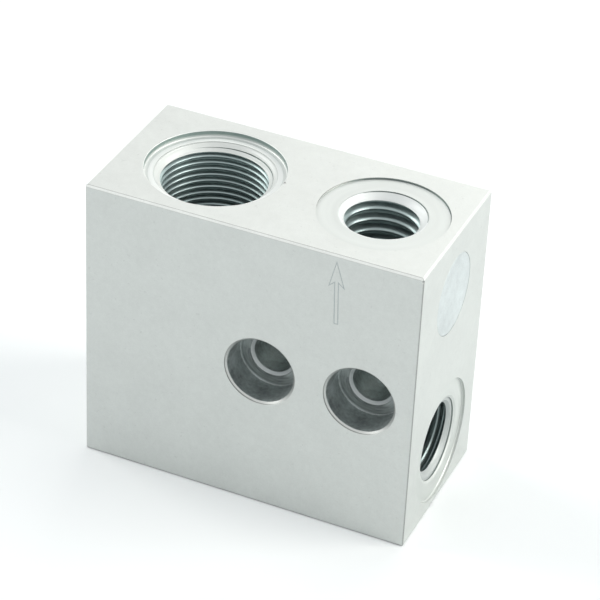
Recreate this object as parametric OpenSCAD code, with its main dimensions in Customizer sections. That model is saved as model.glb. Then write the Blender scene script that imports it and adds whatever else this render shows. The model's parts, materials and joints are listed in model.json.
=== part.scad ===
/* [Body] */
// Width of the block, left to right
body_w = 50; // [48:1:60]
// Depth of the block, front to back
body_d = 25; // [21:0.5:32]
// Height of the block
body_h = 45; // [38:1:56]
// Chamfer on every outer edge of the block
edge_chamfer = 0.3; // [0.2:0.1:1]

/* [Inlet and outlet ports] */
// Thread size of both ports
port_d = 12; // [10:1:14]
// Thread pitch of both ports
port_pitch = 1.75; // [1:0.25:2]
// Depth of the inlet's tapping drill
inlet_port_depth = 15; // [12:0.5:18]
// Diameter of the spot face round each port
spot_d = 18.5; // [16:0.5:20]
// Depth of the outlet's spot face
outlet_spot_depth = 0.25; // [0.1:0.05:1]
// Depth of the inlet's spot face
inlet_spot_depth = 0.45; // [0.1:0.05:1]
// From the block's right face to the outlet's axis
outlet_inset = 11; // [10:0.5:14]

/* [Valve cavity] */
// Thread size of the cavity's mouth
cavity_d = 16; // [15:0.5:19.5]
// Thread pitch of the cavity's mouth
cavity_pitch = 1; // [0.75:0.25:1.5]
// Diameter of the recess round the mouth
lip_d = 20; // [19.5:0.5:22]
// Depth of the recess round the mouth
lip_depth = 1; // [0.5:0.1:2]
// From the block's left face to the cavity's axis
cavity_inset = 13.75; // [12:0.25:15]
// Thickness of the block under the cavity
floor_t = 3.5; // [2:0.5:6]

/* [Mounting holes] */
// Distance between the two mounting holes
mount_spacing = 15; // [13:0.5:18]
// From the block's right face to the nearer hole's axis
mount_inset = 8; // [7:0.5:12]
// Diameter of the holes for the screws' shanks
mount_hole_d = 6; // [5:0.1:7.2]
// Diameter of the counterbores for the screws' heads
mount_head_d = 10.1; // [9:0.1:12]
// Depth of the counterbores
mount_head_depth = 4.6; // [3:0.1:7]

/* [Passages] */
// Drilling from the inlet port to the cavity
inlet_passage_d = 8; // [5:0.5:9.5]
// From the cavity's floor up to that drilling
inlet_rise = 2.75; // [1:0.25:4]
// Drilling from the cavity to the outlet port
cross_passage_d = 5; // [3:0.5:6]
// From the end of the cavity's thread up to that drilling
cross_rise = 0.75; // [0:0.25:2]
// Diameter of the plug that closes the outer end of the cross drilling
plug_d = 12; // [8:0.5:14.5]
// Length of that plug
plug_l = 5; // [3:0.5:6]

/* [Sleeve] */
// Radial clearance of every sliding or slip-in pair
slide_gap = 0.02; // [0.01:0.01:0.05]
// Length of the nose, below the shoulder that the sleeve stands on
nose_l = 9; // [8:0.5:12]
// Wall of the nose
nose_wall = 1.4; // [1:0.1:1.6]
// Length of the sealed collar above the shoulder
lower_collar_l = 5.6; // [5:0.1:7]
// Length of the slotted collar at the top
upper_collar_l = 4; // [3:0.5:5]
// Wall of the neck between the two collars
neck_wall = 1.7; // [1.2:0.1:2]
// Diameter of the outlet holes through the neck
outlet_hole_d = 2.4; // [1.6:0.1:2.8]
// Outlet holes round the neck, inlet windows round the nose and holes round the piston
hole_count = 4; // [3:1:6]
// Diameter of the inlet windows through the nose
window_d = 2.6; // [1.6:0.1:3]
// Slots along the upper collar
slot_count = 6; // [4:1:8]
// Width of those slots
slot_w = 2.4; // [1.5:0.1:3]
// Radial section of the sleeve's seal
seal_section = 1.55; // [1:0.05:1.8]
// Thickness of each backup ring beside the seal
backup_t = 0.7; // [0.5:0.1:1]
// Wall of the filter screen
filter_t = 0.4; // [0.2:0.1:0.5]
// Rows of slots in the filter screen
filter_rows = 3; // [1:1:4]
// Slots in each row of the filter screen
filter_slots = 18; // [8:1:24]

/* [Compensator] */
// Bore that the compensator piston slides in
piston_d = 7; // [6:0.2:8.4]
// Length of the piston
piston_l = 13; // [12:0.5:16]
// Travel of the piston
piston_stroke = 2; // [1:0.1:2.4]
// Diameter of the holes through the piston's wall
piston_hole_d = 2; // [1.4:0.1:2.4]
// Wall of the piston
piston_wall = 0.9; // [0.7:0.1:1]
// Thickness of the shim that sets the spring's preload
shim_t = 0.4; // [0.2:0.1:1]
// Length of the cap that carries the spring
cap_l = 2.2; // [2:0.1:3]
// Wire of the compensator spring
spring_wire_d = 0.5; // [0.3:0.05:0.6]
// Turns of the compensator spring
spring_turns = 7; // [5:1:9]

/* [Check valve in the piston] */
// Depth of the chamber that holds the check valve
check_chamber_l = 5.9; // [5.5:0.1:7]
// Diameter of the seat's edge
seat_d = 3; // [2.4:0.1:3.4]
// Travel of the check poppet
poppet_stroke = 0.8; // [0.4:0.1:0.9]
// Wire of the check spring
check_wire_d = 0.3; // [0.2:0.02:0.32]
// Turns of the check spring
check_turns = 3; // [3:1:4]
// Outer diameter of the orifice jet
jet_d = 1.7; // [1.4:0.1:2]
// Length of the orifice jet
jet_l = 2; // [1.5:0.1:2.4]
// Bore of the orifice jet, which sets the flow
jet_bore = 0.8; // [0.4:0.1:1]

/* [Hidden] */

$fn = 96;
small_fn = 48;
// Overlap of a cutter past the face that it opens
cut = 0.5;

// Diameter at the crests of an internal metric thread, from the ISO profile
function crest_d(thread_d, pitch) = thread_d - 1.0825 * pitch;
// Diameter across the corners of a hexagon
function corner_d(across_flats) = across_flats / cos(30);

// Axes, from the middle of the block's bottom face
cavity_x = cavity_inset - body_w / 2;
outlet_x = body_w / 2 - outlet_inset;
mounts_x = body_w / 2 - mount_inset - mount_spacing / 2;
mounts_z = body_h / 2;

// Nose plug: a flange below the nose and a spigot in it
plug_flange_t = 1;
plug_spigot_l = 1.8;
plug_foot_gap = 1.5;
plug_socket_af = 2.5;
plug_socket_depth = 1.8;

// Chamber round the nose, upwards from the cavity's floor
nose_z = floor_t + plug_foot_gap + plug_flange_t;
shoulder_z = nose_z + nose_l;
inlet_z = floor_t + inlet_rise + inlet_passage_d / 2;

// Heights of the piston at rest
stop_below_shoulder = 3.7;
piston_stop_z = shoulder_z - stop_below_shoulder;
piston_top = piston_stop_z + piston_l;
piston_hole_drop = 1.9;
hole_z = piston_top - piston_hole_drop;
window_z = (nose_z + plug_spigot_l + piston_stop_z) / 2;

// Heights above the piston: spring seat, cap, the cap's snap ring and the sleeve's top
piston_end_gap = 0.1;
spring_top = piston_top + piston_stroke + piston_end_gap;
cap_z = spring_top + shim_t;
cap_top = cap_z + cap_l;
cap_ring_t = 0.5;
cap_ring_lip = 0.4;
cap_ring_width = 0.7;
sleeve_top = cap_top + cap_ring_t + cap_ring_lip;
lower_collar_top = shoulder_z + lower_collar_l;
upper_collar_z = sleeve_top - upper_collar_l;

// Retaining ring above the sleeve, then the thread and the cross drilling
ring_t = 1;
ring_side_gap = 0.1;
ring_groove_h = ring_t + ring_side_gap;
ring_groove_depth = 0.3;
ring_width = 1.8;
ring_lug_r = 1.1;
ring_lug_hole_r = 0.5;
ring_lug_angle = 18;
ring_land = 1;
thread_end_z = sleeve_top + ring_groove_h + ring_land;
cross_z = thread_end_z + cross_rise + cross_passage_d / 2;
// Depth that the outlet's drilling goes on below the cross drilling
outlet_tail = 2.75;
outlet_port_depth = body_h - cross_z + cross_passage_d / 2 + outlet_tail;

// Radii of the threaded mouths
thread_crest_r = crest_d(cavity_d, cavity_pitch) / 2;
mouth_cone_step = 0.3;
mouth_cone_r = cavity_d / 2 + mouth_cone_step;
port_crest_r = crest_d(port_d, port_pitch) / 2;
port_cone_step = 0.1;
port_cone_r = port_d / 2 + port_cone_step;

// Radii of the cavity and the sleeve: the sleeve passes through the thread
thread_step = 0.46;
cavity_r = thread_crest_r - thread_step;
sleeve_r = cavity_r - slide_gap;
ring_groove_r = cavity_r + ring_groove_depth;
seal_groove_r = cavity_r - seal_section;
piston_bore_r = piston_d / 2;
piston_stop_w = 0.9;
inlet_bore_r = piston_bore_r - piston_stop_w;
nose_r = inlet_bore_r + nose_wall;
nose_upper_r = piston_bore_r + nose_wall;
chamber_gap = 0.6;
chamber_r = nose_upper_r + chamber_gap;
neck_r = piston_bore_r + neck_wall;
cap_shoulder = 0.5;
cap_bore_r = piston_bore_r + cap_shoulder;
cap_ring_groove_depth = 0.3;
cap_ring_groove_r = cap_bore_r + cap_ring_groove_depth;
slot_floor_wall = 0.9;
slot_floor_r = cap_bore_r + slot_floor_wall;

// Seal groove in the lower collar
seal_lip = 1.3;
seal_groove_z = shoulder_z + seal_lip;
o_ring_r = (seal_section - slide_gap) / 2;
seal_side_gap = 0.07;
seal_groove_h = 2 * backup_t + 2 * o_ring_r + seal_side_gap;

// Filter round the nose
nose_step_drop = 3.2;
nose_step_z = shoulder_z - nose_step_drop;
filter_gap = 0.05;
filter_r = nose_r + filter_gap;
filter_slot_w = 0.6;
filter_band_h = 0.6;
filter_row_h = (nose_step_z - nose_z - filter_band_h) / filter_rows;

// Cap's seal and the tapped hole that it is pulled out by
cap_groove_rise = 0.4;
cap_groove_depth = 0.88;
cap_groove_h = 1.2;
cap_groove_z = cap_z + cap_groove_rise;
cap_groove_r = cap_bore_r - slide_gap - cap_groove_depth;
cap_o_ring_r = cap_groove_depth / 2;
cap_pull_hole_d = 2.5;
cap_pull_hole_depth = 1.5;

// Shim and compensator spring
shim_side_gap = 0.2;
shim_r = piston_bore_r - shim_side_gap;
shim_hole_r = 1.2;
spring_side_gap = 0.25;
spring_wire_r = spring_wire_d / 2;

// Inside of the piston
piston_r = piston_bore_r - slide_gap;
piston_inner_r = piston_bore_r - piston_wall;
spring_mean_r = piston_inner_r - spring_wire_r - spring_side_gap;
web_z = piston_stop_z + check_chamber_l;
web_t = 1.2;
seat_r = seat_d / 2;

// Retainer and its snap ring, upwards from the piston's lower end
snap_lip = 0.4;
snap_t = 0.35;
snap_groove_depth = 0.3;
snap_groove_z = piston_stop_z + snap_lip;
snap_groove_r = piston_inner_r + snap_groove_depth;
snap_gap_w = 0.8;
retainer_t = 0.4;
retainer_z = snap_groove_z + snap_t;
retainer_top = retainer_z + retainer_t;
retainer_hole_r = 0.3;
retainer_holes = 6;

// Check poppet, downwards from its seat: a 45 degree cone, a body and a hub
poppet_seat_gap = 0.05;
poppet_guide_gap = 0.3;
poppet_r = piston_inner_r - poppet_guide_gap;
poppet_tip_step = 0.6;
poppet_tip_r = seat_r - poppet_tip_step;
poppet_cone_h = poppet_r - poppet_tip_r;
poppet_cone_z = web_z - poppet_seat_gap - (poppet_r - seat_r);
poppet_body_l = 1.75;
poppet_spring_z = poppet_cone_z - poppet_body_l;
poppet_flat_depth = 0.35;
poppet_stop_gap = 0.05;
hub_z = retainer_top + poppet_stop_gap + poppet_stroke;
hub_r = 1.2;
jet_r = jet_d / 2;
jet_slot_w = 0.3;
jet_slot_depth = 0.4;
poppet_outlet_r = 0.6;
check_wire_r = check_wire_d / 2;
check_side_gap = 0.4;
check_mean_r = hub_r + check_side_gap + check_wire_r;

// Counterbore details
head_mouth_chamfer = 0.45;
head_corner_chamfer = 0.3;
shank_chamfer = 0.5;

// Rectangle centred on the origin with its four corners cut off
module chamfered_rectangle(width, height, chamfer) {
    x = width / 2;
    y = height / 2;
    polygon([
        [x - chamfer, -y], [x, chamfer - y], [x, y - chamfer], [x - chamfer, y],
        [chamfer - x, y], [-x, y - chamfer], [-x, chamfer - y], [chamfer - x, -y]
    ]);
}

// The block with all twelve edges chamfered, standing on the origin
module block() {
    translate([0, 0, body_h / 2])
        intersection() {
            linear_extrude(body_h, center = true)
                chamfered_rectangle(body_w, body_d, edge_chamfer);
            rotate([90, 0, 0])
                linear_extrude(body_d, center = true)
                    chamfered_rectangle(body_w, body_h, edge_chamfer);
            rotate([90, 0, 90])
                linear_extrude(body_w, center = true)
                    chamfered_rectangle(body_d, body_h, edge_chamfer);
        }
}

// Cutter of a threaded port whose face is the plane z = 0 and whose drilling goes down
module port_cutter(spot_depth, depth) {
    cone_h = port_cone_r - port_crest_r;
    translate([0, 0, -spot_depth])
        cylinder(h = spot_depth + cut, d = spot_d);
    translate([0, 0, -spot_depth - cone_h])
        cylinder(h = cone_h, r1 = port_crest_r, r2 = port_cone_r);
    translate([0, 0, -depth])
        cylinder(h = depth, r = port_crest_r);
}

// Cutter of the stepped cavity that holds the cartridge
module cavity_cutter() {
    lip_floor_z = body_h - lip_depth;
    cone_h = mouth_cone_r - thread_crest_r;
    translate([0, 0, lip_floor_z])
        cylinder(h = lip_depth + cut, d = lip_d);
    translate([0, 0, lip_floor_z - cone_h])
        cylinder(h = cone_h, r1 = thread_crest_r, r2 = mouth_cone_r);
    translate([0, 0, thread_end_z])
        cylinder(h = lip_floor_z - thread_end_z, r = thread_crest_r);
    translate([0, 0, thread_end_z - thread_step])
        cylinder(h = thread_step, r1 = cavity_r, r2 = thread_crest_r);
    translate([0, 0, sleeve_top])
        cylinder(h = ring_groove_h, r = ring_groove_r);
    translate([0, 0, shoulder_z])
        cylinder(h = thread_end_z - shoulder_z, r = cavity_r);
    translate([0, 0, floor_t])
        cylinder(h = shoulder_z - floor_t, r = chamber_r);
}

// Cutter of a counterbored screw hole whose face is the plane z = 0 and which goes down
module mount_cutter() {
    head_r = mount_head_d / 2;
    shank_r = mount_hole_d / 2;
    rotate_extrude()
        polygon([
            [0, cut],
            [head_r + head_mouth_chamfer + cut, cut],
            [head_r, -head_mouth_chamfer],
            [head_r, head_corner_chamfer - mount_head_depth],
            [head_r - head_corner_chamfer, -mount_head_depth],
            [shank_r + shank_chamfer, -mount_head_depth],
            [shank_r, -mount_head_depth - shank_chamfer],
            [shank_r, -body_d - cut],
            [0, -body_d - cut]
        ]);
}

module valve_body() {
    color([0.80, 0.82, 0.81])
        difference() {
            block();
            translate([cavity_x, 0, 0])
                cavity_cutter();
            translate([outlet_x, 0, body_h])
                port_cutter(outlet_spot_depth, outlet_port_depth);
            translate([body_w / 2, 0, inlet_z])
                rotate([0, 90, 0])
                    port_cutter(inlet_spot_depth, inlet_port_depth);
            // From the inlet port into the chamber round the cartridge's nose
            translate([cavity_x, 0, inlet_z])
                rotate([0, 90, 0])
                    cylinder(h = body_w / 2 - cavity_x - inlet_port_depth + cut, d = inlet_passage_d);
            // From the right face through the outlet port into the cavity
            translate([cavity_x, 0, cross_z])
                rotate([0, 90, 0])
                    cylinder(h = body_w / 2 - cavity_x, d = cross_passage_d);
            translate([body_w / 2 - plug_l, 0, cross_z])
                rotate([0, 90, 0])
                    cylinder(h = plug_l + cut, d = plug_d);
            for (side = [-1, 1])
                translate([mounts_x + side * mount_spacing / 2, -body_d / 2, mounts_z])
                    rotate([90, 0, 0])
                        mount_cutter();
        }
}

// Pressed in flush with the right face
module closing_plug() {
    color([0.80, 0.84, 0.85])
        translate([body_w / 2 - plug_l, 0, cross_z])
            rotate([0, 90, 0])
                cylinder(h = plug_l, r = plug_d / 2 - slide_gap / 2);
}

// Internal circlip with two lugs for the pliers
module retaining_ring() {
    outer_r = ring_groove_r - slide_gap;
    inner_r = outer_r - ring_width;
    color([0.30, 0.31, 0.33])
        translate([cavity_x, 0, sleeve_top])
            linear_extrude(ring_t)
                difference() {
                    union() {
                        difference() {
                            circle(r = outer_r);
                            circle(r = inner_r);
                            // Opening between the lugs
                            polygon([
                                [0, 0],
                                2 * outer_r * [cos(ring_lug_angle), sin(ring_lug_angle)],
                                2 * outer_r * [cos(ring_lug_angle), -sin(ring_lug_angle)]
                            ]);
                        }
                        ring_lugs(inner_r, ring_lug_r);
                    }
                    ring_lugs(inner_r, ring_lug_hole_r);
                }
}

// Two discs, one on each side of the retaining ring's opening
module ring_lugs(centre_r, disc_r) {
    for (side = [-1, 1])
        rotate(side * ring_lug_angle)
            translate([centre_r, 0])
                circle(r = disc_r, $fn = small_fn);
}

// Holes drilled towards the axis at height z, evenly round it
module radial_holes(hole_d, z, reach) {
    for (turn = [0 : hole_count - 1])
        rotate(turn * 360 / hole_count)
            translate([0, 0, z])
                rotate([0, 90, 0])
                    cylinder(h = reach, d = hole_d, $fn = small_fn);
}

// Slip-in sleeve: nose, sealed lower collar, neck with the outlet holes, slotted upper collar
module cartridge_sleeve() {
    color([0.56, 0.57, 0.60])
        translate([cavity_x, 0, 0])
            difference() {
                rotate_extrude()
                    polygon([
                        [inlet_bore_r, nose_z], [nose_r, nose_z],
                        [nose_r, nose_step_z], [nose_upper_r, nose_step_z],
                        [nose_upper_r, shoulder_z], [sleeve_r, shoulder_z],
                        [sleeve_r, seal_groove_z], [seal_groove_r, seal_groove_z],
                        [seal_groove_r, seal_groove_z + seal_groove_h],
                        [sleeve_r, seal_groove_z + seal_groove_h],
                        [sleeve_r, lower_collar_top], [neck_r, lower_collar_top],
                        [neck_r, upper_collar_z], [sleeve_r, upper_collar_z],
                        [sleeve_r, sleeve_top], [cap_bore_r, sleeve_top],
                        [cap_bore_r, cap_top + cap_ring_t],
                        [cap_ring_groove_r, cap_top + cap_ring_t],
                        [cap_ring_groove_r, cap_top], [cap_bore_r, cap_top],
                        [cap_bore_r, cap_z], [piston_bore_r, cap_z],
                        [piston_bore_r, piston_stop_z], [inlet_bore_r, piston_stop_z]
                    ]);
                radial_holes(window_d, window_z, nose_r + cut);
                radial_holes(outlet_hole_d, hole_z, neck_r + cut);
                for (turn = [0 : slot_count - 1])
                    rotate((turn + 0.5) * 360 / slot_count)
                        translate([slot_floor_r, -slot_w / 2, upper_collar_z - cut])
                            cube([sleeve_r, slot_w, upper_collar_l + 2 * cut]);
            }
}

// Ring of round section, centred at height z
module o_ring(inner_r, section_r, z) {
    translate([cavity_x, 0, z])
        rotate_extrude()
            translate([inner_r + section_r, 0])
                circle(r = section_r, $fn = small_fn);
}

module sleeve_o_ring() {
    color([0.08, 0.08, 0.08])
        o_ring(seal_groove_r, o_ring_r, seal_groove_z + seal_groove_h / 2);
}

// Flat ring standing on height z
module flat_ring(inner_r, outer_r, thickness, z) {
    translate([cavity_x, 0, z])
        difference() {
            cylinder(h = thickness, r = outer_r);
            translate([0, 0, -cut])
                cylinder(h = thickness + 2 * cut, r = inner_r);
        }
}

module lower_backup_ring() {
    color([0.92, 0.92, 0.90])
        flat_ring(seal_groove_r + slide_gap, sleeve_r, backup_t, seal_groove_z);
}

module upper_backup_ring() {
    color([0.92, 0.92, 0.90])
        flat_ring(
            seal_groove_r + slide_gap, sleeve_r, backup_t,
            seal_groove_z + seal_groove_h - backup_t
        );
}

// Closes the nose's end and holds the filter
module nose_plug() {
    color([0.62, 0.62, 0.60])
        translate([cavity_x, 0, nose_z])
            difference() {
                union() {
                    translate([0, 0, -plug_flange_t])
                        cylinder(h = plug_flange_t, r = nose_upper_r);
                    cylinder(h = plug_spigot_l, r = inlet_bore_r - slide_gap);
                }
                translate([0, 0, -plug_flange_t - cut])
                    cylinder(h = plug_socket_depth + cut, d = corner_d(plug_socket_af), $fn = 6);
            }
}

// Slotted tube over the windows in the nose
module filter_screen() {
    outer_r = filter_r + filter_t;
    color([0.72, 0.73, 0.74])
        translate([cavity_x, 0, nose_z])
            difference() {
                cylinder(h = nose_step_z - nose_z, r = outer_r);
                translate([0, 0, -cut])
                    cylinder(h = nose_step_z - nose_z + 2 * cut, r = filter_r);
                for (row = [0 : filter_rows - 1], turn = [1 : filter_slots])
                    rotate(turn * 360 / filter_slots)
                        translate([
                            filter_r - filter_t, -filter_slot_w / 2,
                            row * filter_row_h + filter_band_h
                        ])
                            cube([3 * filter_t, filter_slot_w, filter_row_h - filter_band_h]);
            }
}

// Closes the sleeve's top, where it carries the compensator spring
module sleeve_cap() {
    cap_r = cap_bore_r - slide_gap;
    groove_top = cap_groove_z + cap_groove_h;
    color([0.56, 0.57, 0.60])
        translate([cavity_x, 0, 0])
            difference() {
                rotate_extrude()
                    polygon([
                        [0, cap_z], [cap_r, cap_z],
                        [cap_r, cap_groove_z], [cap_groove_r, cap_groove_z],
                        [cap_groove_r, groove_top], [cap_r, groove_top],
                        [cap_r, cap_top], [0, cap_top]
                    ]);
                translate([0, 0, cap_top - cap_pull_hole_depth])
                    cylinder(h = cap_pull_hole_depth + cut, d = cap_pull_hole_d, $fn = small_fn);
            }
}

module cap_o_ring() {
    color([0.08, 0.08, 0.08])
        o_ring(cap_groove_r, cap_o_ring_r, cap_groove_z + cap_groove_h / 2);
}

// Flat ring with an opening, sprung into a groove of a bore
module snap_ring(bore_r, groove_r, depth, thickness, z) {
    difference() {
        flat_ring(bore_r - depth, groove_r - slide_gap, thickness, z);
        translate([cavity_x, -snap_gap_w / 2, z - cut])
            cube([groove_r + cut, snap_gap_w, thickness + 2 * cut]);
    }
}

// Holds the cap down in the sleeve
module cap_snap_ring() {
    color([0.30, 0.31, 0.33])
        snap_ring(cap_bore_r, cap_ring_groove_r, cap_ring_width, cap_ring_t, cap_top);
}

// Sets the spring's preload
module spring_shim() {
    color([0.70, 0.70, 0.72])
        flat_ring(shim_hole_r, shim_r, shim_t, spring_top);
}

// Compression spring between two heights, with a closed coil at each end
module coil_spring(bottom, top, mean_r, wire_r, turns) {
    sides = 8;
    steps = 16;
    rings = turns * steps;
    // The wire's centre rises by one wire over each closed coil and evenly between them
    free_rise = top - bottom - 6 * wire_r;
    function rise(turn) = 2 * wire_r * (min(turn, 1) + max(turn - turns + 1, 0))
        + free_rise * min(max(turn - 1, 0), turns - 2) / (turns - 2);
    function ring_point(ring, side) =
        let (
            angle = 360 * ring / steps,
            around = 360 * side / sides,
            r = mean_r + wire_r * cos(around)
        )
        [r * cos(angle), r * sin(angle), bottom + wire_r + rise(ring / steps) + wire_r * sin(around)];
    points = [for (ring = [0 : rings], side = [0 : sides - 1]) ring_point(ring, side)];
    skin = [
        for (ring = [0 : rings - 1], side = [0 : sides - 1])
            let (
                here = ring * sides,
                next_side = (side + 1) % sides
            )
            [here + side, here + next_side, here + sides + next_side, here + sides + side]
    ];
    first_end = [[for (side = [sides - 1 : -1 : 0]) side]];
    last_end = [[for (side = [0 : sides - 1]) rings * sides + side]];
    translate([cavity_x, 0, 0])
        polyhedron(points, concat(skin, first_end, last_end), convexity = 10);
}

module compensator_spring() {
    color([0.45, 0.46, 0.48])
        coil_spring(web_z + web_t, spring_top, spring_mean_r, spring_wire_r, spring_turns);
}

// Hollow piston with a web: the check valve below it, the spring above it
module compensator_piston() {
    snap_groove_top = snap_groove_z + snap_t;
    color([0.66, 0.67, 0.70])
        translate([cavity_x, 0, 0])
            difference() {
                rotate_extrude()
                    polygon([
                        [piston_inner_r, piston_stop_z], [piston_r, piston_stop_z],
                        [piston_r, piston_top], [piston_inner_r, piston_top],
                        [piston_inner_r, web_z + web_t], [seat_r, web_z + web_t],
                        [seat_r, web_z], [piston_inner_r, web_z],
                        [piston_inner_r, snap_groove_top], [snap_groove_r, snap_groove_top],
                        [snap_groove_r, snap_groove_z], [piston_inner_r, snap_groove_z]
                    ]);
                radial_holes(piston_hole_d, hole_z, piston_bore_r + cut);
            }
}

// Perforated washer that carries the check spring
module check_retainer() {
    outer_r = piston_inner_r - slide_gap;
    color([0.70, 0.70, 0.72])
        difference() {
            flat_ring(hub_r, outer_r, retainer_t, retainer_z);
            for (turn = [1 : retainer_holes])
                translate([cavity_x, 0, retainer_z - cut])
                    rotate(turn * 360 / retainer_holes)
                        translate([(hub_r + outer_r) / 2, 0])
                            cylinder(h = retainer_t + 2 * cut, r = retainer_hole_r, $fn = small_fn);
        }
}

// Holds the retainer in the piston
module check_snap_ring() {
    color([0.30, 0.31, 0.33])
        snap_ring(piston_inner_r, snap_groove_r, snap_groove_depth, snap_t, snap_groove_z);
}

module check_spring() {
    color([0.45, 0.46, 0.48])
        coil_spring(retainer_top, poppet_spring_z, check_mean_r, check_wire_r, check_turns);
}

// Seats upwards against the piston's web; four flats let the return flow pass
module check_poppet() {
    across_flats = 2 * (poppet_r - poppet_flat_depth);
    body_l = poppet_body_l + poppet_cone_h;
    color([0.62, 0.63, 0.66])
        translate([cavity_x, 0, 0])
            difference() {
                union() {
                    translate([0, 0, hub_z])
                        cylinder(h = poppet_spring_z - hub_z, r = hub_r, $fn = small_fn);
                    intersection() {
                        union() {
                            translate([0, 0, poppet_spring_z])
                                cylinder(h = poppet_body_l, r = poppet_r);
                            translate([0, 0, poppet_cone_z])
                                cylinder(h = poppet_cone_h, r1 = poppet_r, r2 = poppet_tip_r);
                        }
                        translate([-across_flats / 2, -across_flats / 2, poppet_spring_z])
                            cube([across_flats, across_flats, body_l]);
                    }
                }
                translate([0, 0, hub_z - cut])
                    cylinder(h = jet_l + cut, r = jet_r + slide_gap / 2, $fn = small_fn);
                translate([0, 0, hub_z])
                    cylinder(
                        h = poppet_spring_z + body_l - hub_z + cut,
                        r = poppet_outlet_r, $fn = small_fn
                    );
            }
}

// Screwed into the poppet from below; its bore meters the flow
module orifice_jet() {
    color([0.80, 0.66, 0.34])
        translate([cavity_x, 0, hub_z])
            difference() {
                cylinder(h = jet_l, r = jet_r, $fn = small_fn);
                translate([0, 0, -cut])
                    cylinder(h = jet_l + 2 * cut, d = jet_bore, $fn = small_fn);
                translate([-jet_d, -jet_slot_w / 2, -cut])
                    cube([2 * jet_d, jet_slot_w, jet_slot_depth + cut]);
            }
}

valve_body();
closing_plug();
retaining_ring();
cartridge_sleeve();
sleeve_o_ring();
lower_backup_ring();
upper_backup_ring();
nose_plug();
filter_screen();
sleeve_cap();
cap_o_ring();
cap_snap_ring();
spring_shim();
compensator_spring();
compensator_piston();
check_retainer();
check_snap_ring();
check_spring();
check_poppet();
orifice_jet();
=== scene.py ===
"""Looks of a hydraulic valve block with a slip-in cartridge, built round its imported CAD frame."""

import json
import math
from collections import namedtuple
from itertools import product

import bmesh
import bpy
from mathutils import Matrix, Vector


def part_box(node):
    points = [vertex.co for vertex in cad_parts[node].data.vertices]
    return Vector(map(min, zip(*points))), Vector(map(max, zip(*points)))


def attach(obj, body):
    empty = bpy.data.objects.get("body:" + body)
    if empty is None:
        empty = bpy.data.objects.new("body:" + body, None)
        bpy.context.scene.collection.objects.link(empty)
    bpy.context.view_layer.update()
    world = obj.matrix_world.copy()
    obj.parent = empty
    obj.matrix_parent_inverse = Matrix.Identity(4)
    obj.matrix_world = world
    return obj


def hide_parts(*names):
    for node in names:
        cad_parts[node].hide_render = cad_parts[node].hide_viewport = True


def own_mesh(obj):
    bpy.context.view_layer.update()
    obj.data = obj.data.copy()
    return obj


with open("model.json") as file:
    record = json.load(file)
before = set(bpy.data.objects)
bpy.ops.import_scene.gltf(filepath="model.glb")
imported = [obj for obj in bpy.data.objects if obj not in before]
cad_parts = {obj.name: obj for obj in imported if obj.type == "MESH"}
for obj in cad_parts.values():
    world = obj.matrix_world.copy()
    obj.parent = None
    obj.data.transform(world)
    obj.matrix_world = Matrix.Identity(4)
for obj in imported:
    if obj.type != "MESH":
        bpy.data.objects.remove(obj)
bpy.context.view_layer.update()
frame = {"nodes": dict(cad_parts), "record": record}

# The lengths named here are in millimetres, unless a comment says metres. The frame is in metres
MM = 0.001
SEGMENTS = 96
PIN_SEGMENTS = 48
ROUNDING_STEPS = 3
# Share of an outline's edge that a rounding may take up at most
ROUNDING_REACH = 0.48
# Smallest cosine that a mitre is worked out with, so that a sharp corner doesn't run far out
MITRE_LIMIT = 0.35
# How far a cutter reaches past the face that it opens
CUT = 1.0
SHARP_ANGLE = math.radians(32)
# In metres: how near a plane counts as on it, and the length below which an edge is dropped
ON_PLANE = 1e-8
SHORTEST_EDGE = 1e-7

# Edges of the block: the two that show most are broken wider than the rest
WIDE_CHAMFER = 0.3
CHAMFER = 0.14
CHAMFER_ROUNDING = 0.04
# Parts of a unit normal that tell the faces and the chamfers of the block apart
SQUARE_ON = 0.999
STEEP = 0.75
LEANING = 0.6
SLIGHT = 0.1

# Mouth of the valve cavity
LIP_RADIUS = 10.0
LIP_DEPTH = 1.0
LIP_FILLET = 0.6
LIP_EDGE_BREAK = 0.08
LIP_EDGE_ROUNDING = 0.05
CAVITY_CONE_RADIUS = 8.6
CAVITY_CONE_STEP = 0.1

# Mouths of the inlet and the outlet, each with a bevelled step at its cone's outer edge
SPOT_RADIUS = 9.25
OUTLET_SPOT_DEPTH = 0.25
PORT_CONE_RADIUS = 6.1
CONE_STEP_GAP = 0.1
CONE_ROUNDING = 0.03
# The spot face's wall takes a dark painted shade finish in the outlet and a soft painted shade in the
# inlet
PortShape = namedtuple("PortShape", "spot_depth spot_fillet bevel cone_step depth wall")
PORT_SHAPES = {
    "outlet": PortShape(
        spot_depth=OUTLET_SPOT_DEPTH, spot_fillet=0.04, bevel=0.04, cone_step=0.03, depth=15.0,
        wall="dull_edge",
    ),
    "inlet": PortShape(
        spot_depth=0.45, spot_fillet=0.16, bevel=0.4, cone_step=0.2, depth=15.0, wall="plain_edge"
    ),
}

# Threads: height of the top from the mouth's face, the height over which the thread fades below
# it, its turn about its axis, and the rows of faces in one pitch
ThreadShape = namedtuple("ThreadShape", "pitch top fade turn rows")
THREADS = {
    "cavity": ThreadShape(pitch=1.0, top=-0.25, fade=1.84, turn=math.radians(-125), rows=12),
    "outlet": ThreadShape(pitch=1.75, top=-0.35, fade=0.9, turn=math.radians(-92), rows=12),
    "inlet": ThreadShape(pitch=1.75, top=-0.9, fade=0.6, turn=0.0, rows=12),
}
# Shares of the pitch: the depth of a metric thread, half of its crest, and one flank
THREAD_DEPTH = 0.5413
THREAD_HALF_CREST = 0.125
THREAD_FLANK = 0.3125
# How much of the flank's form is rounded, where the rest is straight
FLANK_ROUNDNESS = 0.4
# Turns over which a thread deepens from its lower end
RUN_IN_TURNS = 1.5
# Share of the fade's height, from the top, that has the cone's finish
FADED_SHARE = 0.93
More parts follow.
